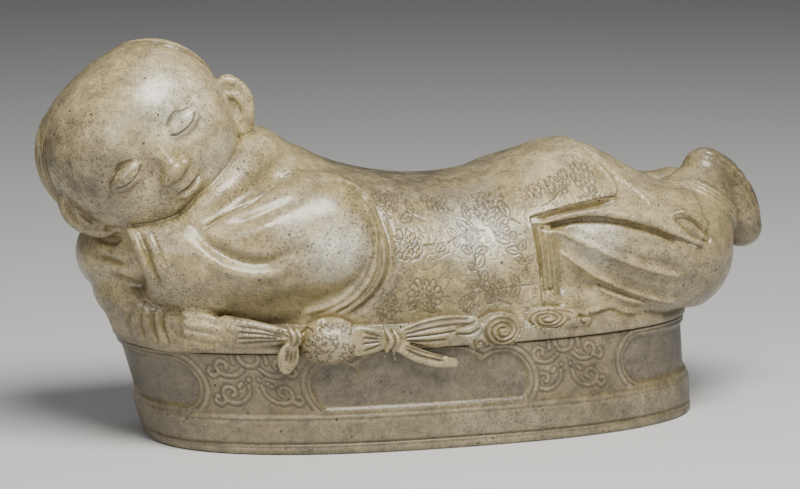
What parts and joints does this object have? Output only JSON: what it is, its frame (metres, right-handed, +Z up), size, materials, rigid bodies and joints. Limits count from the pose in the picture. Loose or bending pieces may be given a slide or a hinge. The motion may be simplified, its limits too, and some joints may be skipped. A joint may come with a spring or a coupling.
{
  "type": "ceramic pillow",
  "caption": "Hollow glazed ceramic headrest: a sleeping child in a patterned robe lying on an oval couch, whose saddle-shaped back holds the neck.",
  "frame": {"origin": "centre of the couch's flat underside", "axes": "+X along the length, from the head end to the feet; +Z up; -Y towards the side that the face looks to"},
  "size_m": [0.3044, 0.122, 0.1606],
  "materials": {
    "glaze": "satin",
    "couch_glaze": "satin",
    "bare_clay": "matte"
  },
  "bodies": {
    "root": {"couch_wall": "couch_glaze", "couch_floor": "bare_clay", "couch_top": "couch_glaze", "robe": "glaze", "coat_tail": "glaze", "left_under_robe": "glaze", "right_under_robe": "glaze", "left_trouser_leg": "glaze", "right_trouser_leg": "glaze", "left_trouser_cuff": "glaze", "right_trouser_cuff": "glaze", "left_shoe": "glaze", "right_shoe": "glaze", "sash_end": "glaze", "head_front": "glaze", "head_back": "glaze", "left_ear": "glaze", "right_ear": "glaze", "left_hair_patch": "glaze", "right_hair_patch": "glaze", "collar": "glaze", "left_sleeve": "glaze", "right_sleeve": "glaze", "right_forearm": "glaze", "right_hand": "glaze", "silk_ball": "glaze", "left_ribbon": "glaze", "left_ribbon_knot": "glaze", "left_ribbon_tail": "glaze", "right_ribbon": "glaze", "right_ribbon_knot": "glaze", "upper_ribbon_tail": "glaze", "lower_ribbon_tail": "glaze", "lower_cloud": "glaze", "upper_cloud": "glaze"}
  },
  "joints": []
}
